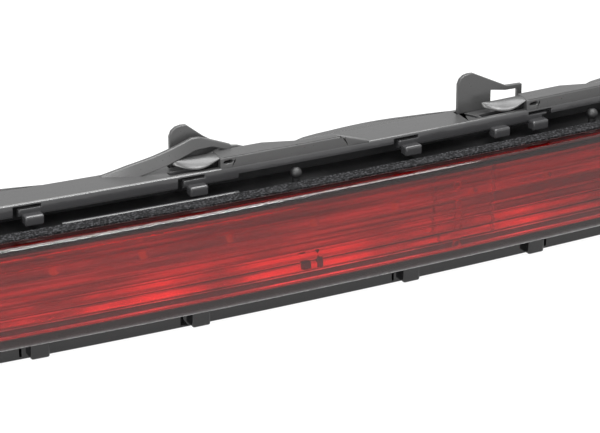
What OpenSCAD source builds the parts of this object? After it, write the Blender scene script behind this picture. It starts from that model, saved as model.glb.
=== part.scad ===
// Third brake light: bowed red bar lamp held between two black trim rails.
// X runs along the lamp, the lens faces -Y, Z is up. Millimetres.
// Sections are drawn as (depth behind the lens front, height) and swept
// round one vertical bow axis, so every long piece shares the same bow.

/* [Overall] */
// Length of the lens along its front face
lens_len = 576; // [560:2:640]
// Length of the two trim rails
rail_len = 568; // [564:2:632]
// Radius of the bow at the lens front
bow_r = 1850; // [1400:50:4000]

/* [Lens] */
// Height of the lens underside above the rest plane
lens_lo = 8.3; // [7:0.1:12]
// Height of the lens top
lens_hi = 34; // [30:0.1:36]
// Depth of the lens from front to back edge
lens_d = 6.4; // [6:0.1:9]
// Radius of the bulged lens face
face_r = 40; // [25:1:80]
// Lens wall thickness
lens_wall = 2.5; // [1.5:0.1:3.5]
// Number of lengthwise flutes inside the face
flute_n = 9; // [4:1:14]

/* [Housing] */
// Height of the housing underside
hous_lo = 9.8; // [8.5:0.1:14]
// Height of the housing top
hous_hi = 32.9; // [28:0.1:34]
// Depth of the housing back
hous_d = 21; // [20:0.5:28]
// Housing wall thickness
hous_wall = 1.8; // [1.2:0.1:3]
// Depth of the foam gasket behind the lens
foam_d = 3.9; // [2:0.1:4.5]

/* [Rails] */
// Height of the upper fold line
rail_hi = 40; // [36:0.5:46]
// Depth of both rail lips
lip_d = 13.5; // [13:0.1:15]
// Height of the rail lips
lip_h = 3.7; // [2:0.1:6]
// Height of the lip under a raised tunnel
strip_h = 2.1; // [1.5:0.1:3]
// Rail wall thickness
rail_wall = 1.5; // [1:0.1:2.5]
// Depth of the rail back
rail_d = 22.9; // [22.5:0.1:30]
// Height of the raised tunnels above the fold line
tunnel_h = 3.1; // [2:0.1:5]
// Half length of a raised tunnel
tunnel_half = 26.7; // [24:0.1:28]
// Inner tunnel distance from the middle
tunnel_1 = 44; // [43:0.1:46]
// Middle tunnel distance from the middle
tunnel_2 = 158; // [156:1:160]
// Outer tunnel distance from the middle
tunnel_3 = 238; // [237:1:240]

/* [Latches] */
// Height of a latch fin above its arm
fin_h = 10.3; // [8:0.1:12]
// Length of a latch arm from fin end to pivot
arm_len = 20.5; // [20:0.5:24]
// Radius of the pivot pin
pin_r = 0.6; // [0.4:0.05:1]
// Running clearance round the pivot pin
pin_gap = 0.05; // [0.02:0.01:0.1]

/* [Electronics] */
// Length of one circuit board
board_len = 84; // [60:1:90]
// Height of a circuit board
board_h = 14; // [8:0.5:18]
// Circuit board thickness
board_t = 1.6; // [0.8:0.1:2.4]
// Lamps on each board
led_n = 4; // [2:1:8]

/* [Mounting] */
// Distance between the two mounting bosses
boss_pitch = 360; // [200:10:440]
// Radius of the mounting screw holes
boss_hole = 1.75; // [1.5:0.05:3]
// Radius of the mounting bosses
boss_r = 4.5; // [3.5:0.1:7]

/* [Hidden] */
$fn = 64;
eps = 0.05;
rail_end = rail_len / 2;
lens_end = lens_len / 2;
back_y = bow_r - (bow_r - rail_d) * cos(deg(rail_end));
mid_y = back_y / 2;
face_z = (lens_lo + lens_hi) / 2 - 0.5;
hous_end = lens_end - lens_wall;
foam_back = lens_d + foam_d;
board_front = 15.1;
board_z = (hous_lo + hous_hi) / 2;
tunnel_back = 18.2;
optic_z0 = hous_lo + hous_wall;
optic_z1 = hous_hi - hous_wall;
optic_join = 15.3;
lip_lo = rail_hi - lip_h;
arm_top = rail_hi - 0.2;
arm_t = 1.4;
pin_z = arm_top - arm_t / 2;
arm_d0 = 19.9;
arm_d1 = 21.4;
fin_d0 = 20.1;
fin_t = 1.2;
tunnels = [-tunnel_3, -tunnel_2, -tunnel_1, tunnel_1, tunnel_2, tunnel_3];
winged = [-tunnel_3, -tunnel_1, tunnel_2];
plain = [-tunnel_2, tunnel_1, tunnel_3];
latch_at = [-tunnel_3 - 25.1, -tunnel_2 - 31.5, -tunnel_1 - 25.1,
            tunnel_1 - 31.5, tunnel_2 - 25.1, tunnel_3 - 31.5];
finger_l = [-190, -107.5, -65.3, -5.8];
finger_r = [32.4, 98, 132, 213];
board_pitch = 92;
board_screw_x = board_pitch / 4;
boss_root = bow_r - (bow_r - hous_d + 0.6) * cos(deg(boss_pitch / 2)) - mid_y;
boards = [-2.5, -1.5, -0.5, 0.5, 1.5, 2.5];
// Outline of a fin; the ones beside a brace are lower and have no window
fin_back = [[0, -0.5], [0, fin_h - 2.5], [0.6, fin_h - 1.1], [1.7, fin_h - 0.3],
  [3.1, fin_h], [4.5, fin_h - 0.1]];
fin_open = [[14.6, 5.2], [19.4, 5], [19.4, -0.5]];
fin_low = [[9, 6.6], [14.6, 3], [19.4, 1.8], [19.4, -0.5]];

// Angle of a place along the lamp, from its distance along the front
function deg(s) = s / bow_r * 180 / PI;

// Puts children at distance s along the lamp: x along, y deeper, z up
module at(s, d = 0, z = 0) {
  translate([0, bow_r - mid_y, 0])
    rotate([0, 0, deg(s)])
      translate([0, d - bow_r, z])
        children();
}

// Sweeps a section of (bow radius, height) from s0 to s1 along the lamp
module bow(s0, s1) {
  translate([0, bow_r - mid_y, 0])
    rotate([0, 0, deg(s0) - 90])
      rotate_extrude(angle = deg(s1 - s0), $fn = 720)
        children();
}

// Rectangle of the section from depth d0 to d1 and height z0 to z1
module sec(d0, d1, z0, z1) {
  translate([bow_r - d1, z0])
    square([d1 - d0, z1 - z0]);
}

// Round spot of the section
module dot(d, z, r) {
  translate([bow_r - d, z])
    circle(r = r);
}

// Box in the local frame
module box(s0, s1, d0, d1, z0, z1) {
  translate([s0, d0, z0])
    cube([s1 - s0, d1 - d0, z1 - z0]);
}

// Plate drawn as (along, height) and given depth from d0 to d1
module wall(d0, d1) {
  translate([0, d1, 0])
    rotate([90, 0, 0])
      linear_extrude(d1 - d0)
        children();
}

// Round bar running deeper from d0 to d1
module rod(d0, d1, r) {
  translate([0, d0, 0])
    rotate([-90, 0, 0])
      cylinder(h = d1 - d0, r = r);
}

// Places children at a spot on the straight face of a board
module on_board(b, x, z) {
  at(b * board_pitch)
    translate([x, board_front, board_z + z])
      children();
}

module lens_outer() {
  intersection() {
    dot(face_r, face_z, face_r);
    sec(0, lens_d, lens_lo + 2.5, lens_hi - 0.95);
  }
  dot(3.6, lens_lo + 2.5, 2.5);
  sec(3.6, lens_d, lens_lo, lens_lo + 2.9);
  dot(3.5, lens_hi - 0.6, 0.6);
  sec(3.5, lens_d, lens_hi - 1.7, lens_hi);
}

module lens_inner() {
  intersection() {
    dot(face_r, face_z, face_r - lens_wall);
    sec(0, lens_d + 1, lens_lo + 2.6, lens_hi - 2.6);
  }
}

module flutes() {
  for (k = [0 : flute_n - 1])
    dot(face_r - (face_r - lens_wall) * cos((k + 0.5 - flute_n / 2) * 2.9),
        face_z + (face_r - lens_wall) * sin((k + 0.5 - flute_n / 2) * 2.9), 0.6);
}

module lens() {
  color([0.75, 0.07, 0.06]) {
    bow(-hous_end, hous_end) {
      difference() {
        lens_outer();
        lens_inner();
      }
      flutes();
    }
    for (m = [0, 1])
      mirror([m, 0, 0])
        bow(hous_end, lens_end)
          lens_outer();
  }
}

module optic(s0, s1) {
  bow(s0, s1) {
    sec(8, 9.5, optic_z0, optic_z1);
    for (k = [0 : 7])
      dot(8, optic_z0 + 2 + k * 2.2, 0.9);
  }
}

module optic_left() {
  color([0.85, 0.35, 0.32])
    optic(-hous_end + 3, optic_join - 0.1);
}

module optic_right() {
  color([0.85, 0.35, 0.32])
    optic(optic_join + 0.1, hous_end - 3);
}

module boss_rod(x, d_from, r) {
  translate([x, 0, board_z])
    rotate([-90, 0, 0])
      translate([0, 0, d_from])
        cylinder(h = back_y - mid_y - d_from, r = r);
}

module housing() {
  color([0.1, 0.1, 0.11])
    difference() {
      union() {
        difference() {
          bow(-hous_end, hous_end)
            sec(lens_d, hous_d, hous_lo, hous_hi);
          bow(-hous_end + hous_wall, hous_end - hous_wall)
            sec(lens_d - 1, hous_d - hous_wall, hous_lo + hous_wall, hous_hi - hous_wall);
        }
        for (b = boards, i = [-1, 1])
          on_board(b, i * board_screw_x, 0)
            rod(board_t, 5, 2.6);
        for (m = [-1, 1])
          boss_rod(m * boss_pitch / 2, boss_root, boss_r);
      }
      for (m = [-1, 1])
        boss_rod(m * boss_pitch / 2, boss_root + 3, boss_hole);
      for (b = boards, i = [-1, 1])
        on_board(b, i * board_screw_x, 0)
          rod(0, 5.1, 0.95);
      at(0, 0, board_z)
        box(-7, 7, hous_d - 3, hous_d + 1, -4, 4);
      at(-60, 0, board_z)
        rod(hous_d - 3, hous_d + 1, 2.5);
      for (s = tunnels)
        at(s + 12) {
          translate([0, 0, hous_hi - 3.4])
            rod(hous_d - 1.2, hous_d + 1, 1.05);
          translate([0, 0, hous_lo + 2])
            rod(hous_d - 1.2, hous_d + 1, 1.05);
        }
    }
}

module gasket() {
  color([0.13, 0.13, 0.14])
    difference() {
      bow(-hous_end - 1.4, hous_end + 1.4)
        sec(lens_d, foam_back, hous_lo - 1.4, hous_hi + 1.5);
      bow(-hous_end, hous_end)
        sec(lens_d - 1, foam_back + 1, hous_lo, hous_hi);
    }
}

// One raised tunnel: open at its left tip, ramped down at its right end
module tunnel(s) {
  difference() {
    bow(s - tunnel_half, s + tunnel_half)
      sec(lip_d + 0.15, tunnel_back, rail_hi - 0.5, rail_hi + tunnel_h);
    bow(s - tunnel_half - 2, s + tunnel_half - 11)
      sec(lip_d + rail_wall + 0.2, tunnel_back - 1.2, rail_hi - 1, rail_hi + tunnel_h - 1.2);
    at(s) {
      wall(10, 30)
        polygon([[16.7, rail_hi + tunnel_h], [tunnel_half, rail_hi],
          [tunnel_half + 2, rail_hi], [tunnel_half + 2, rail_hi + 5],
          [16.7, rail_hi + 5]]);
      translate([0, 0, rail_hi - 0.9])
        linear_extrude(6)
          polygon([[-4, 18.7], [8, 15.8], [29, 15.3], [29, 18.7]]);
      wall(10, lip_d + rail_wall + 0.5)
        polygon([[-28, rail_hi + 0.2], [-19.6, rail_hi + 0.3], [-21, rail_hi + 1],
          [-21.6, rail_hi + 1.6], [-28, rail_hi + 2.4]]);
      wall(10, lip_d + rail_wall + 0.5)
        polygon([[-18.6, rail_hi + 0.9], [-17.5, rail_hi + 0.4], [-12.7, rail_hi + 0.3],
          [-11.6, rail_hi + 0.8], [-12.3, rail_hi + 1.5], [-17.4, rail_hi + 1.6]]);
    }
  }
}

// Curved brace that rises from the rail's back edge to the fin beside it
module wing(s) {
  at(s)
    intersection() {
      translate([0, 0, rail_hi - 0.7])
        linear_extrude(12) {
          difference() {
            translate([-20, 88.55])
              circle(r = 70.6, $fn = 360);
            translate([-20, 88.55])
              circle(r = 69.4, $fn = 360);
            translate([-20, 0])
              square([120, 200]);
            translate([-142.6, 0])
              square([100, 200]);
            translate([-100, 60])
              square([120, 120]);
          }
          translate([-20.1, 17.95])
            square([10.6, 1.2]);
        }
      wall(10, 30)
        polygon([[-43, rail_hi - 1], [-43, rail_hi + 0.2], [-36, rail_hi + 2.3],
          [-30, rail_hi + 3.9], [-25, rail_hi + 5.4], [-20.4, rail_hi + 7.2],
          [-18.6, rail_hi + 7.2], [-9.5, rail_hi + 4], [-12, rail_hi + 2.9],
          [-12, rail_hi - 1], [-14.5, rail_hi - 1], [-14.5, rail_hi + 4.2],
          [-19, rail_hi + 4.2], [-25, rail_hi + 2.3], [-34, rail_hi + 0.1],
          [-34.4, rail_hi - 1]]);
    }
}

// Low mound between a winged tunnel and its fin
module mound(s) {
  at(s)
    wall(18.35, 19.4)
      polygon([[-21.5, rail_hi - 0.5], [-21.5, rail_hi + 0.1], [-16, rail_hi + 2],
        [-10.5, rail_hi + 3.4], [-8, rail_hi + 3.3], [-1, rail_hi + 0.7],
        [-0.2, rail_hi - 0.5]]);
}

// Lobe that widens the rail's plate behind a tunnel's right half
module lobe(s) {
  at(s)
    translate([0, 0, rail_hi - rail_wall + 0.1])
      linear_extrude(rail_wall - 0.15)
        polygon([[8, 21.5], [13, 24.2], [21, 25.4], [28, 26.2], [36, 26.4],
          [44, 25.6], [53, 24.4], [60, 22.8], [60, 21.5]]);
}

// Thin slit that frees a spring finger in a lip, with its foot block
module finger_slit() {
  box(-4.2, 2, lip_d - 1, lip_d + rail_wall + eps, 2.3, 2.9);
  box(-4.2, -3.6, lip_d - 1, lip_d + rail_wall + eps, -1, 2.5);
}

module finger_foot(z0, z1) {
  box(-2.4, 2.4, lip_d - 2.3, lip_d + 0.6, z0, z1);
}

module latch_opening(s) {
  at(s) {
    box(-0.5, arm_len + 1.6, arm_d0 - 0.3, arm_d1 + 0.3, rail_hi - 4.5, rail_hi + 0.1);
    translate([arm_len, 0, pin_z])
      rod(arm_d0 - 1.5, arm_d1 + 1, pin_r + pin_gap);
  }
}

module rail_body() {
  bow(-rail_end, rail_end) {
    sec(lip_d, rail_d, rail_hi - rail_wall, rail_hi);
    sec(lip_d, lip_d + rail_wall, lip_lo, rail_hi);
    sec(hous_d, rail_d, hous_hi - 6, rail_hi);
  }
}

module upper_rail() {
  color([0.07, 0.07, 0.08])
    difference() {
      union() {
        difference() {
          rail_body();
          for (s = tunnels) {
            bow(s - tunnel_half - 0.5, s + tunnel_half - 11)
              sec(lip_d + rail_wall + 0.1, tunnel_back - 1.1, rail_hi - 2, rail_hi + 0.1);
            bow(s - 9.7, s + 33.9)
              sec(lip_d - 1, lip_d + rail_wall + 1, lip_lo - 1, rail_hi - strip_h);
          }
          for (s = finger_l)
            at(s, 0, lip_lo)
              finger_slit();
          for (s = finger_r)
            at(s, 0, lip_lo)
              mirror([1, 0, 0])
                finger_slit();
        }
        for (s = tunnels) {
          tunnel(s);
          at(s - 10.9)
            box(-0.9, 0.9, lip_d - 0.4, lip_d + 0.5, rail_hi - 2.8, rail_hi - 2);
          bow(s + 31, s + 33.9)
            sec(lip_d + 0.1, lip_d + rail_wall - 0.1, lip_lo - 0.6, rail_hi - strip_h + 0.5);
        }
        for (s = winged) {
          wing(s);
          mound(s);
        }
        for (s = concat(winged, plain))
          if (s < tunnel_3)
            lobe(s);
        for (s = latch_at)
          at(s + arm_len)
            box(-1.8, 1.6, arm_d0 - 2, arm_d0, rail_hi - 2.6, rail_hi - 0.1);
        for (s = concat(finger_l, finger_r, [20.6]))
          at(s, 0, lip_lo)
            finger_foot(-1.5, 1.1);
      }
      for (s = latch_at)
        latch_opening(s);
      for (s = plain)
        at(s)
          translate([0, 0, rail_hi - 3])
            linear_extrude(4)
              polygon([[-31, 19.8], [-29.4, 19.8], [-27.6, 15.4], [-28.8, 15.4]]);
      for (s = tunnels)
        at(s + 12, 0, hous_hi - 3.4)
          rod(hous_d - 1, rail_d + 1, 1.7);
    }
}

module lower_rail() {
  color([0.07, 0.07, 0.08])
    difference() {
      union() {
        difference() {
          bow(-rail_end, rail_end) {
            sec(lip_d, rail_d, 0, rail_wall);
            sec(lip_d, lip_d + rail_wall, 0, lip_h);
            sec(hous_d, rail_d, 0, hous_lo + 5);
          }
          for (s = finger_l)
            at(s)
              translate([-4.6, lip_d - 1, 0.8])
                cube([0.6, rail_wall + 1 + eps, lip_h]);
          for (s = finger_r)
            at(s)
              translate([4, lip_d - 1, 0.8])
                cube([0.6, rail_wall + 1 + eps, lip_h]);
        }
        for (s = concat(finger_l, finger_r))
          at(s)
            finger_foot(0.4, 4.6);
      }
      for (s = tunnels)
        at(s + 12, 0, hous_lo + 2)
          rod(hous_d - 1, rail_d + 1, 1.7);
      for (s = [-1, 1])
        at(s * 262)
          box(-5, 5, 16.6, 19.4, -1, 3);
    }
}

// Sprung latch: arm, upright fin and its cross pivot
module latch(i) {
  open = len([for (s = winged) if (abs(s - 25.1 - latch_at[i]) < 1) s]) == 0;
  color([0.06, 0.06, 0.07])
    at(latch_at[i])
      difference() {
        union() {
          box(0, arm_len, arm_d0, arm_d1, arm_top - arm_t, arm_top);
          wall(fin_d0, fin_d0 + fin_t)
            translate([0, arm_top])
              polygon(concat(fin_back, open ? fin_open : fin_low));
          translate([arm_len, 0, pin_z]) {
            rod(arm_d0, arm_d1, 1);
            rod(arm_d0 - 1.4, arm_d1 + 0.9, pin_r);
          }
        }
        if (open)
          wall(fin_d0 - 1, fin_d0 + fin_t + 1)
            polygon([[9.9, arm_top + 1], [18, arm_top + 1], [18, arm_top + 3.9],
              [14.4, arm_top + 4], [9.9, arm_top + 4.8]]);
      }
}

module latch_1() { latch(0); }
module latch_2() { latch(1); }
module latch_3() { latch(2); }
module latch_4() { latch(3); }
module latch_5() { latch(4); }
module latch_6() { latch(5); }

// White dished strip with a clearance hole for every lamp
module reflector(s0, s1, list) {
  color([0.9, 0.9, 0.88])
    difference() {
      bow(s0, s1) {
        sec(12, 13, optic_z0 + 0.1, optic_z1 - 0.1);
        sec(9.6, 12.1, optic_z0 + 0.1, optic_z0 + 1);
        sec(9.6, 12.1, optic_z1 - 1, optic_z1 - 0.1);
      }
      for (b = list, k = [0 : led_n - 1])
        at(led_s(b, k), 0, board_z)
          rod(11.5, 13.5, 2.7);
    }
}

function led_s(b, k) = b * board_pitch + (k - (led_n - 1) / 2) * board_pitch / led_n;

module reflector_left() {
  reflector(-hous_end + 3, -0.3, [-2.5, -1.5, -0.5]);
}

module reflector_right() {
  reflector(0.3, hous_end - 3, [0.5, 1.5, 2.5]);
}

module board(b) {
  color([0.1, 0.35, 0.2])
    at(b * board_pitch, 0, board_z)
      difference() {
        box(-board_len / 2, board_len / 2, board_front, board_front + board_t,
          -board_h / 2, board_h / 2);
        for (i = [-1, 1])
          translate([i * board_screw_x, 0, 0])
            rod(board_front - 1, board_front + board_t + 1, 1.1);
      }
}

module led_board_1() { board(boards[0]); }
module led_board_2() { board(boards[1]); }
module led_board_3() { board(boards[2]); }
module led_board_4() { board(boards[3]); }
module led_board_5() { board(boards[4]); }
module led_board_6() { board(boards[5]); }

module leds() {
  color([0.95, 0.9, 0.7])
    for (b = boards, k = [0 : led_n - 1])
      on_board(b, (k - (led_n - 1) / 2) * board_pitch / led_n, 0) {
        box(-1.75, 1.75, -1, 0, -1.5, 1.5);
        rod(-1.7, -0.9, 1.2);
      }
}

module resistors() {
  color([0.15, 0.15, 0.16])
    for (b = boards, k = [-1, 0, 1])
      on_board(b, k * board_pitch / led_n, -4)
        box(-1.6, 1.6, -0.6, 0, -0.8, 0.8);
}

module board_links() {
  color([0.8, 0.78, 0.7])
    for (k = [-2 : 2], z = [-2, 2])
      at(k * board_pitch, 0, board_z + z)
        box(-6, 6, board_front - 1.2, board_front - 0.52, -0.4, 0.4);
}

module board_screws() {
  color([0.7, 0.7, 0.72])
    for (b = boards, i = [-1, 1])
      on_board(b, i * board_screw_x, 0) {
        rod(-1, 0, 1.9);
        rod(-0.5, 4.9, 0.95);
      }
}

module connector_socket() {
  color([0.12, 0.12, 0.13])
    at(0, 0, board_z)
      difference() {
        union() {
          box(-7, 7, hous_d - 1.8, hous_d, -4, 4);
          box(-8.6, 8.6, hous_d + 1.02, hous_d + 2.2, -5.2, 5.2);
          box(-7, 7, hous_d - 0.5, hous_d + 12, -4, 4);
          box(-2.5, 2.5, hous_d + 6, hous_d + 9, 3.9, 5.2);
        }
        box(-5.8, 5.8, hous_d + 2, hous_d + 13, -2.8, 2.8);
        for (k = [-1, 0, 1])
          box(k * 3.4 - 0.6, k * 3.4 + 0.6, hous_d - 3, hous_d + 3, -0.4, 0.4);
      }
}

module terminals() {
  color([0.8, 0.68, 0.35])
    at(0, 0, board_z)
      for (k = [-1, 0, 1])
        box(k * 3.4 - 0.6, k * 3.4 + 0.6, hous_d - 2.6, hous_d + 5, -0.4, 0.4);
}

module connector_seal() {
  color([0.75, 0.3, 0.12])
    at(0, 0, board_z)
      difference() {
        box(-8.3, 8.3, hous_d + 0.02, hous_d + 1, -4.9, 4.9);
        box(-7, 7, hous_d - 1, hous_d + 2, -4, 4);
      }
}

module vent_plug() {
  color([0.2, 0.2, 0.22])
    at(-60, 0, board_z) {
      rod(hous_d - 1.8, hous_d + 0.1, 2.5);
      rod(hous_d + 0.01, hous_d + 1.6, 4.2);
      for (k = [0 : 3])
        rotate([0, k * 45, 0])
          box(-3.6, 3.6, hous_d + 1.5, hous_d + 2.1, -0.35, 0.35);
    }
}

module ball_studs() {
  color([0.16, 0.16, 0.17])
    for (s = tunnels)
      at(s + 5.2, 12.2) {
        translate([0, 0, hous_hi])
          cylinder(h = 3, r = 1);
        translate([0, 0, 35.9])
          sphere(r = 1.5);
      }
}

module pan_screw() {
  rod(rail_d, rail_d + 1.3, 2.4);
  rod(hous_d - 1.1, rail_d + 0.1, 1.05);
}

module upper_rail_screws() {
  color([0.55, 0.55, 0.57])
    for (s = tunnels)
      at(s + 12, 0, hous_hi - 3.4)
        pan_screw();
}

module lower_rail_screws() {
  color([0.55, 0.55, 0.57])
    for (s = tunnels)
      at(s + 12, 0, hous_lo + 2)
        pan_screw();
}

lens();
optic_left();
optic_right();
housing();
gasket();
upper_rail();
lower_rail();
latch_1();
latch_2();
latch_3();
latch_4();
latch_5();
latch_6();
reflector_left();
reflector_right();
led_board_1();
led_board_2();
led_board_3();
led_board_4();
led_board_5();
led_board_6();
leds();
resistors();
board_links();
board_screws();
connector_socket();
terminals();
connector_seal();
vent_plug();
ball_studs();
upper_rail_screws();
lower_rail_screws();
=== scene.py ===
import bmesh
import bpy
import math
from mathutils import Matrix, Vector


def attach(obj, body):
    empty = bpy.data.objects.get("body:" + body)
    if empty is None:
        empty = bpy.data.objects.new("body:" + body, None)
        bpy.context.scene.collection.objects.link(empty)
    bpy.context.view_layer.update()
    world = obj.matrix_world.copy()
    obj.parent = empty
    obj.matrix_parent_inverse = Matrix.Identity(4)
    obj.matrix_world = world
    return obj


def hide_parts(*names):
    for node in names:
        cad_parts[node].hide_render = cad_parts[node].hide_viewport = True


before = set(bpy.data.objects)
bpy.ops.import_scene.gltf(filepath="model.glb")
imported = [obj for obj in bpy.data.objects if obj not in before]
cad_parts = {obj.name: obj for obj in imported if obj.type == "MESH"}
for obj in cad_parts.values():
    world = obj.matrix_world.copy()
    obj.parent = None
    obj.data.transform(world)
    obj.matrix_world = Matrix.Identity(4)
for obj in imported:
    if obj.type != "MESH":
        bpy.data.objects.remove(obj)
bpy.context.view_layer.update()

# The lamp is bowed round one upright axis. Distances along it are measured
# on the lens front, depths run back from the lens front. Millimetres.
MM = 0.001
BOW_R = 1850.0
MID_Y = 22.1934
RAIL_END, LENS_END, HOUS_END = 284.0, 288.0, 285.5
RAIL_FRONT, RAIL_BACK = 13.5, 22.9
FOLD = 40.0
BOARD_Z = 21.35
BOARD_PITCH = 92.0
BOARDS_LEFT, BOARDS_RIGHT = [-2.5, -1.5, -0.5], [0.5, 1.5, 2.5]
TUNNELS = [-238, -158, -44, 44, 158, 238]
WINGED = [-238, -44, 158]
PLAIN = [-158, 44, 238]
FINGERS_LEFT = [-190, -107.5, -65.3, -5.8]
FINGERS_RIGHT = [32.4, 98, 132, 213]
LATCHES = [-263.1, -189.5, -69.1, 12.5, 132.9, 206.5]
WINDOWED = [2, 4, 6]
BOW_CENTRE = Vector((0, (BOW_R - MID_Y) * MM, 0))


# ---------------------------------------------------------------- placing
def bow_place(s, d=0.0, z=0.0):
    """Matrix from the local frame (x along, y deeper, z up) at place s."""
    turn = Matrix.Rotation(s / BOW_R, 4, "Z")
    return (Matrix.Translation(BOW_CENTRE) @ turn
            @ Matrix.Translation((0, (d - BOW_R) * MM, z * MM)))


def at(s, d, z):
    """The point at place s, depth d and height z."""
    return bow_place(s, d, z) @ Vector((0, 0, 0))


# -------------------------------------------------------------- materials
def srgb(hex_value):
    """Linear RGBA from an sRGB hex string."""
    parts = [int(hex_value[i:i + 2], 16) / 255 for i in (0, 2, 4)]
    lin = [c / 12.92 if c <= 0.04045 else ((c + 0.055) / 1.055) ** 2.4 for c in parts]
    return (*lin, 1.0)


def add(tree, kind, settings=None, links=None):
    """Adds a node, sets attributes or inputs, and links named inputs."""
    node = tree.nodes.new(kind)
    for key, value in (settings or {}).items():
        if isinstance(key, str) and hasattr(node, key):
            setattr(node, key, value)
        else:
            node.inputs[key].default_value = value
    for key, source in (links or {}).items():
        tree.links.new(source, node.inputs[key])
    return node


def material(name, base, rough, **more):
    """A new material with its shader's constant numbers set."""
    mat = bpy.data.materials.new(name)
    mat.use_nodes = True
    shader = mat.node_tree.nodes["Principled BSDF"]
    shader.inputs["Base Color"].default_value = srgb(base)
    shader.inputs["Roughness"].default_value = rough
    for key, value in more.items():
        shader.inputs[key.replace("_", " ")].default_value = value
    return mat, mat.node_tree, shader


def cells(size):
    """Pattern scale that makes one cell this many millimetres."""
    return 1 / (size * MM)


def object_coords(tree, across=None, high=None):
    """Object coordinates, or cells so many millimetres across and high."""
    coords = add(tree, "ShaderNodeTexCoord")
    scale = (cells(across), cells(across), cells(high)) if across else (1, 1, 1)
    return add(tree, "ShaderNodeMapping", {"Scale": scale},
               {"Vector": coords.outputs["Object"]}).outputs["Vector"]


def ramp_stops(ramp, stops):
    """Sets a colour ramp's (position, hex) stops."""
    elements = ramp.color_ramp.elements
    while len(elements) < len(stops):
        elements.new(0.5)
    for element, (where, colour) in zip(elements, stops):
        element.position = where
        element.color = srgb(colour)


def moulded_gloss():
    """Black ABS mouldings: polished and faintly wavy below the fold, and
    fine-grained from the plate up, which greys them and blurs what they mirror.
    The grain is drawn at 0.7 mm, coarser than real, so that it shows. Their colour
    is painted lighter with height, near-black low down to grey on the plate, as
    painted reflection of the light from above."""
    mat, tree, shader = material("gloss_abs", "0d0d0e", 0.09)
    vec = object_coords(tree)
    wave = add(tree, "ShaderNodeTexNoise", {"Scale": cells(8.333), "Detail": 2.0},
               {"Vector": vec})
    fine = add(tree, "ShaderNodeTexNoise", {"Scale": cells(0.7143), "Detail": 3.0},
               {"Vector": vec})
    swell = add(tree, "ShaderNodeBump", {"Strength": 0.3, "Distance": 0.4 * MM},
                {"Height": wave.outputs["Fac"]})
    pits = add(tree, "ShaderNodeBump", {"Strength": 0.05, "Distance": 0.1 * MM},
               {"Height": fine.outputs["Fac"], "Normal": swell.outputs["Normal"]})
    tree.links.new(pits.outputs["Normal"], shader.inputs["Normal"])
    polish = add(tree, "ShaderNodeMapRange", {"To Min": 0.06, "To Max": 0.17},
                 {"Value": fine.outputs["Fac"]})
    grain = add(tree, "ShaderNodeMapRange", {"To Min": 0.22, "To Max": 0.4},
                {"Value": fine.outputs["Fac"]})
    height = add(tree, "ShaderNodeSeparateXYZ", None, {0: vec})
    above = add(tree, "ShaderNodeMapRange", {"From Min": (FOLD - 0.15) * MM,
                                             "From Max": (FOLD - 0.02) * MM},
                {"Value": height.outputs["Z"]})
    rough = add(tree, "ShaderNodeMix", {"data_type": "FLOAT"},
                {0: above.outputs["Result"], 2: polish.outputs["Result"],
                 3: grain.outputs["Result"]})
    tree.links.new(rough.outputs[0], shader.inputs["Roughness"])
    # Painted light: the colour stays near-black up to mid-height, then lightens to dark grey
    # near the fold and to grey on the plate and above, as painted reflection of the light from
    # above
    level = add(tree, "ShaderNodeMapRange", {"From Max": FOLD * MM},
                {"Value": height.outputs["Z"]})
    shade = add(tree, "ShaderNodeValToRGB", None, {"Fac": level.outputs["Result"]})
    ramp_stops(shade, [(0.5, "0d0d0e"), (0.85, "2c2c2d"), (0.985, "2c2c2d"), (1.0, "363636")])
    tree.links.new(shade.outputs["Color"], shader.inputs["Base Color"])
    return mat


def foam():
    """Closed-cell EPDM foam: dull black, open skin with half-millimetre cells."""
    mat, tree, shader = material("epdm_foam", "0e0e10", 0.95, Specular_IOR_Level=0.2)
    vec = object_coords(tree)
    pores = add(tree, "ShaderNodeTexVoronoi", {"Scale": cells(0.625)}, {"Vector": vec})
    noise = add(tree, "ShaderNodeTexNoise", {"Scale": cells(0.52632), "Detail": 3.0},
                {"Vector": vec})
    ramp = add(tree, "ShaderNodeValToRGB", None, {"Fac": noise.outputs["Fac"]})
    ramp_stops(ramp, [(0.5, "020203"), (0.64, "323234")])
    tree.links.new(ramp.outputs["Color"], shader.inputs["Base Color"])
    bump = add(tree, "ShaderNodeBump", {"Strength": 0.8, "Distance": 0.4 * MM},
               {"Height": pores.outputs["Distance"]})
    tree.links.new(bump.outputs["Normal"], shader.inputs["Normal"])
    return mat


def red_pmma():
    """Transparent red acrylic lens, injection moulded: mirror-smooth with long faint
    waves, and deep signal red where light has to cross its wall."""
    mat, tree, shader = material("red_pmma", "ffe2de", 0.02, IOR=1.49,
                                 Transmission_Weight=1.0)
    wave = add(tree, "ShaderNodeTexNoise", {"Scale": 1.0, "Detail": 2.0},
               {"Vector": object_coords(tree, 66.67, 2.381)})
    bump = add(tree, "ShaderNodeBump", {"Strength": 0.12, "Distance": 0.2 * MM},
               {"Height": wave.outputs["Fac"]})
    tree.links.new(bump.outputs["Normal"], shader.inputs["Normal"])
    dye = add(tree, "ShaderNodeVolumeAbsorption",
              {"Color": srgb("ed2119"), "Density": 1300.0})
    tree.links.new(dye.outputs["Volume"],
                   tree.nodes["Material Output"].inputs["Volume"])
    return mat


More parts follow.
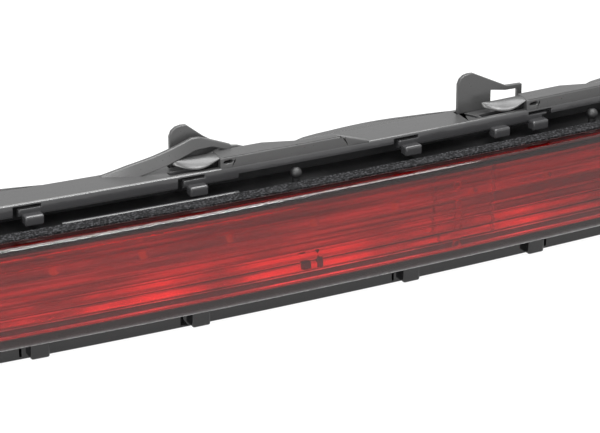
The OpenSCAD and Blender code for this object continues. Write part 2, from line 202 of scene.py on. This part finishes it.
def white_with_painted_light():
    """White moulded reflector plastic with lengthwise ribs. Its colour is painted
    with long light and dark streaks, painted light that breaks the red behind the lens
    into long streaks. It is painted brightest at its foot and on the sill, and dimmest
    about two fifths of the way up, as painted light and shade."""
    mat, tree, shader = material("white_reflector_abs", "e0e0dc", 0.3)
    # Painted light: long light and dark streaks, stretched lengthwise and multiplied into the
    # white
    broad = add(tree, "ShaderNodeTexNoise", {"Scale": 1.0, "Detail": 2.0},
                {"Vector": object_coords(tree, 111.11, 2.6316)})
    fine = add(tree, "ShaderNodeTexNoise", {"Scale": 1.0, "Detail": 3.0},
               {"Vector": object_coords(tree, 28.571, 0.58824)})
    both = add(tree, "ShaderNodeMath", {"operation": "ADD"},
               {0: broad.outputs["Fac"], 1: fine.outputs["Fac"]})
    mean = add(tree, "ShaderNodeMath", {"operation": "MULTIPLY", 1: 0.5},
               {0: both.outputs[0]})
    painted_streaks = add(tree, "ShaderNodeValToRGB", None, {"Fac": mean.outputs[0]})
    ramp_stops(painted_streaks, [(0.4, "3a3a3a"), (0.5, "9a9a9a"), (0.59, "ffffff")])
    # Painted light and shade: brightest at the foot of the dish, dimmest about two fifths of
    # the way up, a little lighter above
    height = add(tree, "ShaderNodeSeparateXYZ", None, {0: object_coords(tree)})
    level = add(tree, "ShaderNodeMapRange", {"From Min": 11.5 * MM, "From Max": 31 * MM},
                {"Value": height.outputs["Z"]})
    dish = add(tree, "ShaderNodeValToRGB", None, {"Fac": level.outputs["Result"]})
    ramp_stops(dish, [(0.0, "f0f0f0"), (0.06, "e8e8e8"), (0.15, "b4b4b4"), (0.4, "a4a4a4"),
                      (0.7, "b8b8b8"), (1.0, "b4b4b4")])
    tint = add(tree, "ShaderNodeMix",
               {"data_type": "RGBA", "blend_type": "MULTIPLY", "Factor": 1.0},
               {6: dish.outputs["Color"], 7: painted_streaks.outputs["Color"]})
    tree.links.new(tint.outputs[2], shader.inputs["Base Color"])
    return mat


def plain(name, base, rough, **more):
    """One-colour finish whose shine is mottled about every millimetre."""
    mat, tree, shader = material(name, base, rough, **more)
    noise = add(tree, "ShaderNodeTexNoise", {"Scale": cells(1.1111), "Detail": 3.0},
                {"Vector": object_coords(tree)})
    span = add(tree, "ShaderNodeMapRange", {"To Min": rough * 0.8, "To Max": rough * 1.25},
               {"Value": noise.outputs["Fac"]})
    tree.links.new(span.outputs["Result"], shader.inputs["Roughness"])
    return mat


GLOSS = moulded_gloss()
FOAM = foam()
RED = red_pmma()
WHITE = white_with_painted_light()
# Spark-textured black ABS: an even, dull black that shows no reflections
CASE = plain("textured_case_abs", "0a0a0b", 0.5)
# Smoked acrylic: near-black with a red cast and a soft shine
SMOKE = plain("smoked_pmma", "2a0504", 0.15)
# Solder mask over glass laminate: satin bottle green
GREEN = plain("green_solder_mask", "1f5a36", 0.3)
# Tinned copper: soft warm silver, slightly clouded
TIN = plain("tinned_copper", "c9c6bc", 0.3, Metallic=1.0)
# Zinc-plated steel: cool grey metal with blurred glints
STEEL = plain("zinc_plated_steel", "b9bbbf", 0.32, Metallic=1.0)
# Phosphor-filled epoxy: waxy, muted yellow
LED = plain("led_epoxy", "b8a66a", 0.25)
# Silicone rubber: dull orange, dusty looking
RUBBER = plain("silicone_rubber", "b0501f", 0.55)
# Clear moulded acrylic, lightly etched: passes red light but blurs what is behind
OPTIC = plain("clear_pmma_optic", "ffb0a8", 0.18, IOR=1.49, Transmission_Weight=1.0)


# ---------------------------------------------------------- mesh building
def sweep(bm, outline, s0, s1, step=2.0):
    """Spins a closed (depth, height) outline round the bow from s0 to s1."""
    start = bow_place(s0)
    ring = [bm.verts.new(start @ Vector((0, d * MM, z * MM))) for d, z in outline]
    edges = [bm.edges.new((ring[i - 1], ring[i])) for i in range(len(ring))]
    steps = max(1, round((s1 - s0) / step))
    out = bmesh.ops.spin(bm, geom=ring + edges, cent=BOW_CENTRE, axis=(0, 0, 1),
                         angle=(s1 - s0) / BOW_R, steps=steps, use_merge=False,
                         use_duplicate=False)
    last = [e for e in out["geom_last"] if isinstance(e, bmesh.types.BMEdge)]
    bmesh.ops.contextual_create(bm, geom=edges)
    bmesh.ops.contextual_create(bm, geom=last)


def block(bm, s, x0, x1, d0, d1, z0, z1):
    """Box in the local frame at s."""
    size = Matrix.Diagonal(((x1 - x0) * MM, (d1 - d0) * MM, (z1 - z0) * MM, 1))
    place = bow_place(s) @ Matrix.Translation(
        ((x0 + x1) / 2 * MM, (d0 + d1) / 2 * MM, (z0 + z1) / 2 * MM)) @ size
    return bmesh.ops.create_cube(bm, size=1.0, matrix=place)["verts"]


def prism(bm, s, points, low, high, upright=True):
    """Outline pushed through: upright is (along, height) given depth,
    otherwise (along, depth) given height."""
    def spot(a, b, c):
        local = (a, c, b) if upright else (a, b, c)
        return bow_place(s) @ (Vector(local) * MM)
    ring = [bm.verts.new(spot(a, b, low)) for a, b in points]
    face = bm.faces.new(ring)
    new = bmesh.ops.extrude_face_region(bm, geom=[face])["geom"]
    shift = spot(0, 0, high) - spot(0, 0, low)
    bmesh.ops.translate(bm, vec=shift,
                        verts=[v for v in new if isinstance(v, bmesh.types.BMVert)])


def cylinder(bm, s, x, z, d0, d1, r, sides=24):
    """Round bar running deeper from d0 to d1."""
    place = (bow_place(s) @ Matrix.Translation((x * MM, (d0 + d1) / 2 * MM, z * MM))
             @ Matrix.Rotation(math.radians(90), 4, "X"))
    bmesh.ops.create_cone(bm, cap_ends=True, segments=sides, radius1=r * MM,
                          radius2=r * MM, depth=(d1 - d0) * MM, matrix=place)


def arc(d, z, r, a0, a1, n):
    """Points on an arc; angle 0 faces forward (low depth), 90 up."""
    angles = [math.radians(a0 + (a1 - a0) * i / n) for i in range(n + 1)]
    return [(d - r * math.cos(a), z + r * math.sin(a)) for a in angles]


def waves(count, per, depth):
    """(height share, depth share) points of round flutes side by side."""
    return [(k / (count * per), depth * math.sin(math.pi * k / per) ** 2)
            for k in range(count * per + 1)]


def between(points, x):
    """Height at x on a line of (x, height) points."""
    for (x0, z0), (x1, z1) in zip(points, points[1:]):
        if x <= x1:
            return z0 + (z1 - z0) * (x - x0) / (x1 - x0)
    return points[-1][1]


def to_object(bm, name):
    """A scene object from a bmesh, its faces turned outwards."""
    bmesh.ops.recalc_face_normals(bm, faces=bm.faces)
    mesh = bpy.data.meshes.new(name)
    bm.to_mesh(mesh)
    bm.free()
    ob = bpy.data.objects.new(name, mesh)
    bpy.context.scene.collection.objects.link(ob)
    return ob


def carve(ob, cutters):
    """Takes the cutter mesh out of the object for good."""
    tool = to_object(cutters, "cutter")
    cut = ob.modifiers.new("cut", "BOOLEAN")
    cut.operation = "DIFFERENCE"
    cut.solver = "EXACT"
    cut.use_self = True
    cut.object = tool
    bpy.context.view_layer.update()
    graph = bpy.context.evaluated_depsgraph_get()
    mesh = bpy.data.meshes.new_from_object(ob.evaluated_get(graph))
    ob.modifiers.clear()
    old = ob.data
    ob.data = mesh
    bpy.data.meshes.remove(old)
    bpy.data.objects.remove(tool)


def finish(ob, mat, body, *nodes, edge=0.0, angle=50.0, segments=2, curved=False):
    """Gives a piece its finish, softened edges, body and CAD nodes."""
    ob.data.materials.clear()
    ob.data.materials.append(mat)
    for poly in ob.data.polygons:
        poly.use_smooth = True
        poly.material_index = 0
    if edge:
        bevel = ob.modifiers.new("edges", "BEVEL")
        bevel.width = edge * MM
        bevel.segments = segments
        bevel.limit_method = "ANGLE"
        bevel.angle_limit = math.radians(angle)
        bevel.use_clamp_overlap = False
        bevel.profile = 0.5
    if curved:
        ob.data.set_sharp_from_angle(angle=math.radians(40))
    else:
        even = ob.modifiers.new("normals", "WEIGHTED_NORMAL")
        even.keep_sharp = True
        even.weight = 100
    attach(ob, body)
    if nodes:
        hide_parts(*nodes)


# -------------------------------------------------------------- upper rail
FOLD_R = 0.7
LIP_LO = 36.3
SLIT = (19.6, 21.7)          # depths of the openings that the latches stand in
# Fold, plate, back wall, plate underside, lip and the lip's rolled foot
UPPER_OUTLINE = (arc(RAIL_FRONT + FOLD_R, FOLD - FOLD_R, FOLD_R, 0, 90, 6) + [
    (22.6, FOLD), (22.83, 39.9), (RAIL_BACK, 39.7), (RAIL_BACK, 27.3), (21.0, 27.3),
    (21.0, 38.5), (15.2, 38.5), (15.0, 38.3), (15.0, 36.8), (14.85, 36.5), (14.5, 36.32),
    (14.0, 36.4), (13.65, 36.75), (RAIL_FRONT, 37.3)])


def upper_rail():
    bm = bmesh.new()
    sweep(bm, UPPER_OUTLINE, -RAIL_END, RAIL_END)
    rail = to_object(bm, "upper_rail_moulding")
    cuts = bmesh.new()
    for s in TUNNELS:
        block(cuts, s, -27.2, 15.7, 15.1, 17.1, 38.0, 40.6)
        runs, run = 7, 6.23              # the lip is cut away in short straight runs
        for k in range(runs):
            lap = 0.01 if k < runs - 1 else 0
            block(cuts, s, -9.7 + k * run, -9.7 + (k + 1) * run + lap, 12.5, 16.0, 35.0, 37.9)
    # L-shaped slots that free each spring finger, opening away from its foot
    for side, spots in ((-1, FINGERS_LEFT), (1, FINGERS_RIGHT)):
        for s in spots:
            block(cuts, s, *sorted((side * -2.4, side * 4.6)), 12.5, 15.6,
                  LIP_LO + 2.2, LIP_LO + 3.0)
            block(cuts, s, *sorted((side * 3.2, side * 4.6)), 12.5, 15.6,
                  LIP_LO - 1, LIP_LO + 2.5)
    for s in LATCHES:
        block(cuts, s, -0.5, 22.1, *SLIT, 35.5, 40.6)
    for s in PLAIN:
        prism(cuts, s, [(-31, 19.8), (-29.4, 19.8), (-27.6, 15.4), (-28.8, 15.4)],
              37.0, 41.0, upright=False)
    carve(rail, cuts)
    finish(rail, GLOSS, "lamp", "upper_rail", edge=0.12, angle=55)


def feet(name, spots, low, high):
    """Rounded blocks at the ends of the spring fingers."""
    bm = bmesh.new()
    for s in spots:
        block(bm, s, -2.4, 2.4, 11.2, 14.1, low, high)
    finish(to_object(bm, name), GLOSS, "lamp", edge=0.55, segments=3)


# Curved braces from the rail's back edge to the fins: (along, rise over the plate)
BRACE_TOP = [(-42.6, 0.1), (-36, 2.3), (-30, 3.9), (-25, 5.5), (-20, 7.3), (-18, 7.2),
             (-14, 5.7), (-9.5, 3.9)]
BRACE_LOW = [(-42.6, -0.6), (-35, -0.5), (-30, 0.9), (-25, 2.4), (-19, 4.2), (-14.5, 4.2),
             (-12, 3.2), (-9.5, 2.4)]
BRACE_D, BRACE_BEND_X, BRACE_BEND_R, BRACE_HALF = 18.55, -20, 70, 0.6
BRACE_STATIONS = 45


def brace(s):
    bm = bmesh.new()
    start, end = BRACE_TOP[0][0], BRACE_TOP[-1][0]
    last = None
    for k in range(BRACE_STATIONS):
        x = start + k * (end - start) / (BRACE_STATIONS - 1)
        bend = max(0, BRACE_BEND_X - x)
        d = BRACE_D + BRACE_BEND_R - math.sqrt(BRACE_BEND_R ** 2 - bend ** 2)
        top, low = between(BRACE_TOP, x), between(BRACE_LOW, x)
        lean = (0.5 if bend > 7 else 0.16 + 0.34 * bend / 7) * (top - low)
        front, back = d - BRACE_HALF, d + BRACE_HALF
        ring = [bm.verts.new(bow_place(s) @ (Vector((x, deep, z + FOLD)) * MM))
                for deep, z in ((front - lean, low), (front, top), (back, top),
                                (back - lean, low))]
        edges = [bm.edges.new((ring[i - 1], ring[i])) for i in range(4)]
        if last:
            bmesh.ops.bridge_loops(bm, edges=last + edges)
        else:
            bmesh.ops.contextual_create(bm, geom=edges)
        last = edges
    bmesh.ops.contextual_create(bm, geom=last)
    finish(to_object(bm, "brace_%d" % TUNNELS.index(s)), GLOSS, "lamp", edge=0.3, angle=40)


MOUND = [(-21.5, 39.5), (-21.5, 40.1), (-19, 41.1), (-16, 42.0), (-13, 42.9),
         (-10.5, 43.4), (-9, 43.45), (-7.5, 43.2), (-4, 41.9), (-1, 40.7), (-0.2, 39.5)]


def mounds():
    """Low mounds between a braced tunnel and its fin."""
    bm = bmesh.new()
    for s in WINGED:
        prism(bm, s, MOUND, 18.35, 19.45)
    finish(to_object(bm, "mounds"), GLOSS, "lamp", edge=0.3, angle=40)


LOBE = [(8.4, 22.75), (10.5, 23.1), (13, 24.2), (17, 24.95), (21, 25.4), (24.5, 25.85),
        (28, 26.2), (32, 26.4), (36, 26.4), (40, 26.1), (44, 25.6), (49, 25.0),
        (53, 24.4), (57, 23.7), (60, 22.9), (60, 22.75)]


def plate_lobes():
    """Lobes that widen the plate behind the tunnels."""
    bm = bmesh.new()
    for s in TUNNELS[:-1]:
        prism(bm, s, LOBE, 38.6, FOLD - 0.05, upright=False)
    finish(to_object(bm, "plate_lobes"), GLOSS, "lamp", edge=0.3, angle=40)


def housing_rib():
    """Slim rib on the housing, behind the foam."""
    bm = bmesh.new()
    sweep(bm, [(10.4, 32.7), (10.4, 34.3), (10.6, 34.6), (11.2, 34.6), (11.5, 34.2),
               (11.5, 32.7)], -101, -55)
    finish(to_object(bm, "housing_rib"), GLOSS, "lamp", edge=0.2, angle=55)


TUNNEL_LEFT, TUNNEL_RIGHT, TUNNEL_TOP = -14.6, 26.7, 43.1


def tunnel(s):
    """Raised tunnel: hollow, ramped at the right, one small window in its wall."""
    bm = bmesh.new()
    sweep(bm, [(13.65, 39.5), (13.65, 42.2), (13.75, 42.5), (14.05, 42.68),
               (18.2, 43.08), (18.2, 39.5)], s + TUNNEL_LEFT, s + TUNNEL_RIGHT, 1.0)
    ob = to_object(bm, "tunnel_%d" % TUNNELS.index(s))
    cuts = bmesh.new()
    sweep(cuts, [(15.2, 38.0), (15.2, 41.9), (17.0, 41.9), (17.0, 38.0)],
          s - 30.0, s + 15.7, 2.0)
    prism(cuts, s, [(16.7, TUNNEL_TOP), (TUNNEL_RIGHT, FOLD), (30, FOLD), (30, 46),
                    (16.7, 46)], 10, 30)
    prism(cuts, s, [(-6, 19.4), (8, 15.8), (30, 15.3), (30, 19.4)], 39.1, 46, upright=False)
    prism(cuts, s, [(-13.7, 41.2), (-13.2, 40.95), (-11.4, 41.0), (-10.9, 41.35),
                    (-11.6, 41.75), (-13.3, 41.6)], 10, 15.5)
    carve(ob, cuts)
    finish(ob, GLOSS, "lamp", edge=0.25, angle=25)


# Spoon-like left tip of each tunnel: its front edge dips, then rises to the roof
SPOON_EDGE = [(-25.8, 17.3, 41.6), (-24.6, 16.0, 41.3), (-22.8, 14.8, 40.9),
              (-21, 14.2, 40.65), (-19.2, 13.95, 40.65), (-17.6, 13.95, 41.1),
              (-16.2, 14.0, 41.8), (-15.2, 14.05, 42.2), (-14.3, 14.1, 42.6)]
SPOON_BACK, SPOON_HIGH, SPOON_CROWN = 18.15, 42.7, 0.25


def tunnel_spoons():
    bm = bmesh.new()
    for s in TUNNELS:
        last = None
        for x, d, z in SPOON_EDGE:
            row = []
            for share in (0, 0.3, 0.6, 0.85, 1):
                deep = SPOON_BACK + (d - SPOON_BACK) * share
                high = (SPOON_HIGH + (z - SPOON_HIGH) * share ** 2
                        + SPOON_CROWN * math.sin(math.pi * share))
                row.append(bm.verts.new(bow_place(s) @ (Vector((x, deep, high)) * MM)))
            edges = [bm.edges.new(pair) for pair in zip(row, row[1:])]
            if last:
                bmesh.ops.bridge_loops(bm, edges=last + edges)
            last = edges
    for face in bm.faces:
        if face.normal.z < 0:
            face.normal_flip()
    mesh = bpy.data.meshes.new("tunnel_spoons")
    bm.to_mesh(mesh)
    bm.free()
    spoons = bpy.data.objects.new("tunnel_spoons", mesh)
    bpy.context.scene.collection.objects.link(spoons)
    skin = spoons.modifiers.new("skin", "SOLIDIFY")
    skin.thickness = 0.55 * MM
    skin.offset = -1
    smooth = spoons.modifiers.new("round", "SUBSURF")
    smooth.levels = smooth.render_levels = 2
    finish(spoons, GLOSS, "lamp", curved=True)


# ----------------------------------------------------------------- latches
ARM_TOP = FOLD - 0.2
PIN_X, PIN_Z, PIN_R = 20.5, 39.1, 0.6
FIN_BACK = [(0, -0.5), (0, 7.8), (0.6, 9.2), (1.7, 10), (3.1, 10.3), (4.5, 10.2)]
FIN_OPEN = [(14.6, 5.2), (19.4, 5), (19.4, -0.5)]
FIN_LOW = [(9, 6.6), (14.6, 3), (19.4, 1.8), (19.4, -0.5)]


def latch(i, s):
    """Upright fin and the flat arm on its pin, which press down together."""
    body = "sprung_latch_%d" % i
    bm = bmesh.new()
    outline = FIN_BACK + (FIN_OPEN if i in WINDOWED else FIN_LOW)
    prism(bm, s, [(x, z + ARM_TOP) for x, z in outline], 20.1, 21.3)
    fin = to_object(bm, "latch_fin_%d" % i)
    if i in WINDOWED:
        cuts = bmesh.new()
        prism(cuts, s, [(9.9, 40.8), (18, 40.8), (18, 43.7), (14.4, 43.8), (9.9, 44.6)],
              19, 23)
        carve(fin, cuts)
    finish(fin, GLOSS, body, edge=0.22, angle=25)
    bm = bmesh.new()
    block(bm, s, 0.02, PIN_X, 19.92, 21.38, 38.4, 39.78)
    cylinder(bm, s, PIN_X, PIN_Z, 19.92, 21.38, 1.0)
    cylinder(bm, s, PIN_X, PIN_Z, 18.5, 22.3, PIN_R)
    finish(to_object(bm, "latch_arm_%d" % i), GLOSS, body, "latch_%d" % i, edge=0.15)


# -------------------------------------------------------------- lower rail
LOWER_OUTLINE = [
    (RAIL_FRONT, 0.4), (13.62, 0.12), (13.9, 0.0), (22.6, 0.0), (RAIL_BACK, 0.3),
    (RAIL_BACK, 14.8), (21.0, 14.8), (21.0, 1.5), (15.0, 1.5), (15.0, 3.4), (14.75, 3.7),
    (13.8, 3.7), (RAIL_FRONT, 3.4)]


def lower_rail():
    bm = bmesh.new()
    sweep(bm, LOWER_OUTLINE, -RAIL_END, RAIL_END)
    rail = to_object(bm, "lower_rail_moulding")
    cuts = bmesh.new()
    for side, spots in ((-1, FINGERS_LEFT), (1, FINGERS_RIGHT)):
        for s in spots:
            block(cuts, s, *sorted((side * 4.0, side * 4.6)), 12.5, 15.3, 0.8, 4.6)
    for s in (-262, 262):
        block(cuts, s, -5, 5, 16.6, 19.4, -1, 3)
    carve(rail, cuts)
    finish(rail, GLOSS, "lamp", "lower_rail", edge=0.12, angle=55)


# -------------------------------------------------------------------- lens
FACE_R, FACE_Z, WALL = 40.0, 20.65, 2.5
LENS_LO, LENS_HI, LENS_BACK = 8.3, 34.0, 6.4
RIM_R, BEAD_R, BEAD_D, BEAD_Z = 1.2, 2.5, 3.6, 10.8
FLANGE_LO, FLANGE_HI = 10.9, 31.4
FLUTES, PER_FLUTE, FLUTE_DEEP = 8, 8, 0.3


def face_angle(z, r):
    """Degrees up the lens face's arc, at radius r, to height z."""
    return math.degrees(math.asin((z - FACE_Z) / r))


def lens_outer():
    """Outside of the lens: flange top, rounded rim, crowned face, rolled foot."""
    rim_z = LENS_HI - RIM_R
    top = face_angle(rim_z, FACE_R - RIM_R)
    rim_d = FACE_R - (FACE_R - RIM_R) * math.cos(math.radians(top))
    return ([(LENS_BACK, LENS_HI)] + arc(rim_d, rim_z, RIM_R, 90, top, 14)[:-1]
            + arc(FACE_R, FACE_Z, FACE_R, top, face_angle(BEAD_Z, FACE_R), 24)[:-1]
            + arc(BEAD_D, BEAD_Z, BEAD_R, 0, -90, 10) + [(LENS_BACK, LENS_LO)])


def lens_inner():
    """Inside of the lens, from the foot up, fluted lengthwise."""
    r = FACE_R - WALL
    low, high = face_angle(FLANGE_LO, r), face_angle(FLANGE_HI, r)
    steps = FLUTES * PER_FLUTE
    points = []
    for k in range(steps + 1):
        a = math.radians(low + (high - low) * k / steps)
        flute = r - FLUTE_DEEP * abs(math.cos(math.pi * k / PER_FLUTE))
        points.append((FACE_R - flute * math.cos(a), FACE_Z + flute * math.sin(a)))
    return [(LENS_BACK, FLANGE_LO)] + points + [(LENS_BACK, FLANGE_HI)]


def lens():
    bm = bmesh.new()
    sweep(bm, lens_outer() + lens_inner(), -HOUS_END, HOUS_END)
    ob = to_object(bm, "lens_moulding")
    finish(ob, RED, "lamp", "lens", curved=True)
    bm = bmesh.new()
    for a, b in ((-LENS_END, -HOUS_END), (HOUS_END, LENS_END)):
        sweep(bm, lens_outer(), a, b, 1.0)
    finish(to_object(bm, "lens_ends"), RED, "lamp", curved=True)


def weld_seams():
    """Black weld seams that hold the lens flange to the housing."""
    bm = bmesh.new()
    for low, high in ((31.6, 33.85), (8.5, 10.7)):
        sweep(bm, [(6.1, low), (6.1, high), (6.35, high), (6.35, low)], -HOUS_END + 1,
              HOUS_END - 1)
    finish(to_object(bm, "weld_seams"), CASE, "lamp", curved=True)


# --------------------------------------------------- optics and reflectors
OPTIC_LO, OPTIC_HI, OPTIC_END = 11.6, 31.1, HOUS_END - 3
OPTIC_JOIN = 15.3
LED_X = [k * BOARD_PITCH / 4 for k in (-1.5, -0.5, 0.5, 1.5)]


def optic_strip(side, a, b):
    """Clear strip with lengthwise flutes on its front."""
    bm = bmesh.new()
    front = [(8.0 - w, OPTIC_LO + t * (OPTIC_HI - OPTIC_LO)) for t, w in waves(7, 8, 0.7)]
    sweep(bm, front + [(9.45, OPTIC_HI), (9.45, OPTIC_LO)], a, b)
    finish(to_object(bm, "optic_strip_" + side), OPTIC, "lamp", "optic_" + side, curved=True)


def reflector_dish(side, a, b, boards):
    """Ribbed white dish with a hole for each lamp."""
    low, high = OPTIC_LO + 0.12, OPTIC_HI - 0.12
    lip, back = 0.8, 13.2
    bm = bmesh.new()
    dish = [(12.9 - w, low + lip + t * (high - low - 2 * lip)) for t, w in waves(5, 8, 1.0)]
    sweep(bm, [(9.65, low), (9.65, low + lip)] + dish
          + [(9.65, high - lip), (9.65, high), (back, high), (back, low)], a, b)
    ob = to_object(bm, "reflector_dish_" + side)
    cuts = bmesh.new()
    for board in boards:
        for x in LED_X:
            cylinder(cuts, board * BOARD_PITCH + x, 0, BOARD_Z, 10.5, 14.5, 1.3, 32)
    carve(ob, cuts)
    finish(ob, WHITE, "lamp", "reflector_" + side, curved=True)


def reflector_sill():
    """Bright sill along the foot of the dish, just behind the lens, where the white is painted
    brightest.
    """
    bm = bmesh.new()
    sweep(bm, [(4.3, 11.1), (4.3, 11.3), (5.5, 11.42), (7.9, 11.5), (7.9, 11.1)],
          -OPTIC_END, OPTIC_END)
    finish(to_object(bm, "reflector_sill"), WHITE, "lamp", curved=True)


def pin_rings():
    """Ring marks of the mould's pins, in a column inside the lens."""
    s, radius, reach = 1.6, 1.0, 0.6
    bm = bmesh.new()
    for z in (28.4, 23.8, 20.8, 17.6, 13.0):
        d = FACE_R - math.sqrt((FACE_R - WALL) ** 2 - (z - FACE_Z) ** 2)
        place = bow_place(s, d - 0.35, z) @ Matrix.Rotation(math.radians(90), 4, "X")
        ring = bmesh.ops.create_circle(bm, segments=24, radius=radius * MM,
                                       matrix=place)["verts"]
        band = bmesh.ops.extrude_edge_only(
            bm, edges=list({e for v in ring for e in v.link_edges}))["geom"]
        bmesh.ops.translate(bm, verts=[v for v in band if isinstance(v, bmesh.types.BMVert)],
                            vec=bow_place(s).to_3x3() @ Vector((0, reach * MM, 0)))
    ob = to_object(bm, "pin_rings")
    solid = ob.modifiers.new("wall", "SOLIDIFY")
    solid.thickness = 0.35 * MM
    solid.offset = 0
    finish(ob, OPTIC, "lamp", curved=True)


def locating_pegs():
    """Locating pegs between lens and optic, each with a thin stop beside it."""
    bm = bmesh.new()
    for s in (-132, -40, 52, 144):
        block(bm, s, -0.9, 0.9, 4.6, 7.1, 13.9, 15.7)
        block(bm, s, 3.6, 4.1, 4.4, 7.1, 13.0, 16.6)
    finish(to_object(bm, "locating_pegs"), SMOKE, "lamp", edge=0.2)


# ------------------------------------------------------------------ screws
def screw_heads(rail, z):
    """Pan heads with cross recesses on the back of a rail."""
    x, head_r, half_slot, half_cross = 12, 2.38, 0.32, 1.3
    bm = bmesh.new()
    cuts = bmesh.new()
    for s in TUNNELS:
        cylinder(bm, s, x, z, RAIL_BACK + 0.02, 24.2, head_r, 32)
        block(cuts, s, x - half_slot, x + half_slot, 23.4, 24.6, z - half_cross, z + half_cross)
        block(cuts, s, x - half_cross, x + half_cross, 23.4, 24.6, z - half_slot, z + half_slot)
    ob = to_object(bm, rail + "_screw_heads")
    carve(ob, cuts)
    finish(ob, STEEL, "lamp", rail + "_rail_screws", edge=0.12)


upper_rail()
feet("finger_feet", FINGERS_LEFT + FINGERS_RIGHT + [20.6], 34.8, 37.4)
for s in WINGED:
    brace(s)
mounds()
plate_lobes()
housing_rib()
for s in TUNNELS:
    tunnel(s)
tunnel_spoons()
for i, s in enumerate(LATCHES, 1):
    latch(i, s)
lower_rail()
feet("lower_feet", FINGERS_LEFT + FINGERS_RIGHT, 0.4, 4.6)
lens()
weld_seams()
optic_strip("left", -OPTIC_END, OPTIC_JOIN - 0.1)
optic_strip("right", OPTIC_JOIN + 0.1, OPTIC_END)
reflector_dish("left", -OPTIC_END, -0.3, BOARDS_LEFT)
reflector_dish("right", 0.3, OPTIC_END, BOARDS_RIGHT)
reflector_sill()
pin_rings()
locating_pegs()
screw_heads("upper", 29.5)
screw_heads("lower", 11.8)


# -------------------------------------------- CAD solids shown as they are
NODE_FINISH = {
    "housing": CASE, "gasket": FOAM,
    "leds": LED, "resistors": CASE, "board_links": TIN, "board_screws": STEEL,
    "connector_socket": CASE, "terminals": TIN, "connector_seal": RUBBER,
    "vent_plug": CASE, "ball_studs": CASE,
}
NODE_FINISH.update({"led_board_%d" % i: GREEN for i in range(1, 7)})
for node, mat in NODE_FINISH.items():
    ob = bpy.data.objects[node]
    for slot in ob.material_slots:
        slot.material = mat
# Clear pieces cast no shadow, so that light reaches the white dish behind them
for name in ("lens_moulding", "lens_ends", "optic_strip_left", "optic_strip_right",
             "pin_rings"):
    bpy.data.objects[name].visible_shadow = False


# ---------------------------------------------------------------- the set
def light(name, size, power, place, aim, size_y=None):
    """White softbox at a place, turned to its aim, size by size_y metres."""
    data = bpy.data.lights.new(name, "AREA")
    data.shape = "RECTANGLE"
    data.size = size
    data.size_y = size_y or size
    data.energy = power
    ob = bpy.data.objects.new(name, data)
    bpy.context.scene.collection.objects.link(ob)
    ob.location = place
    ob.rotation_euler = (Vector(aim) - Vector(place)).to_track_quat("-Z", "Y").to_euler()


def light_table():
    """Opal acrylic light table: pale and lit evenly from below, plus a painted pool of light
    that makes it brightest round the lamp.
    """
    mat, tree, shader = material("opal_acrylic", "505050", 0.6)
    shader.inputs["Emission Color"].default_value = (1, 1, 1, 1)
    place = add(tree, "ShaderNodeTexCoord")
    reach = add(tree, "ShaderNodeVectorMath", {"operation": "DISTANCE", 1: BOW_CENTRE},
                {0: place.outputs["Object"]})
    off = add(tree, "ShaderNodeMath", {"operation": "SUBTRACT", 1: (BOW_R - 2.0) * MM},
              {0: reach.outputs["Value"]})
    away = add(tree, "ShaderNodeMath", {"operation": "ABSOLUTE"}, {0: off.outputs[0]})
    # Painted light: the glow is strongest within 6 mm of a line 2 mm behind the lens front and
    # fades out by 45 mm, a painted pool of light round the lamp
    painted_light_pool = add(tree, "ShaderNodeMapRange",
               {"From Min": 6 * MM, "From Max": 45 * MM, "To Min": 0.95, "To Max": 0.88,
                "interpolation_type": "SMOOTHSTEP"}, {"Value": away.outputs[0]})
    tree.links.new(painted_light_pool.outputs["Result"], shader.inputs["Emission Strength"])
    bm = bmesh.new()
    bmesh.ops.create_grid(bm, x_segments=1, y_segments=1, size=3.0)
    floor = to_object(bm, "floor")
    floor.data.materials.append(mat)


def white_room():
    """A white room whose far wall is dimmer, so that level tops don't wash out."""
    world = bpy.data.worlds.new("studio")
    bpy.context.scene.world = world
    world.use_nodes = True
    tree = world.node_tree
    sky = tree.nodes["Background"]
    sky.inputs["Color"].default_value = (1, 1, 1, 1)
    facing = add(tree, "ShaderNodeTexCoord")
    axes = add(tree, "ShaderNodeSeparateXYZ", None, {0: facing.outputs["Generated"]})
    level = add(tree, "ShaderNodeMapRange",
                {"From Min": 0.3, "From Max": 0.85, "To Min": 1.3, "To Max": 0.6},
                {"Value": axes.outputs["Y"]})
    tree.links.new(level.outputs["Result"], sky.inputs["Strength"])


light_table()
white_room()
bpy.context.scene.view_settings.view_transform = "Standard"
light("softbox_top", 1.4, 28, (0, 0.1, 1.2), (0, 0, 0), size_y=0.85)
light("softbox_front", 0.6, 13, (0.25, -0.75, 1.16), (0, 0, 0), size_y=0.24)
light("softbox_left", 0.3, 3.0, (-0.48, -0.35, 0.3), (-0.15, 0, 0.02))
light("softbox_back", 2.6, 0.8, (0.5, 1.4, 0.6), (0, 0, 0.05), size_y=0.9)

# Camera: degrees round from the front and up, metres off, and metres across its view
VIEW_AZ, VIEW_EL, VIEW_DIST, VIEW_WIDTH = -28.44, 22.5, 0.62, 0.144332
SENSOR = 36
target = at(-44, 0, 29.835)
az, el = math.radians(VIEW_AZ), math.radians(VIEW_EL)
back = Vector((math.sin(az) * math.cos(el), -math.cos(az) * math.cos(el), math.sin(el)))
cam = bpy.data.cameras.new("camera")
cam.sensor_width = SENSOR
cam.lens = SENSOR * VIEW_DIST / VIEW_WIDTH
cam.clip_start = 0.01
camera = bpy.data.objects.new("camera", cam)
bpy.context.scene.collection.objects.link(camera)
camera.location = target + back * VIEW_DIST
camera.rotation_euler = (-back).to_track_quat("-Z", "Y").to_euler()
bpy.context.scene.camera = camera

bpy.context.view_layer.update()
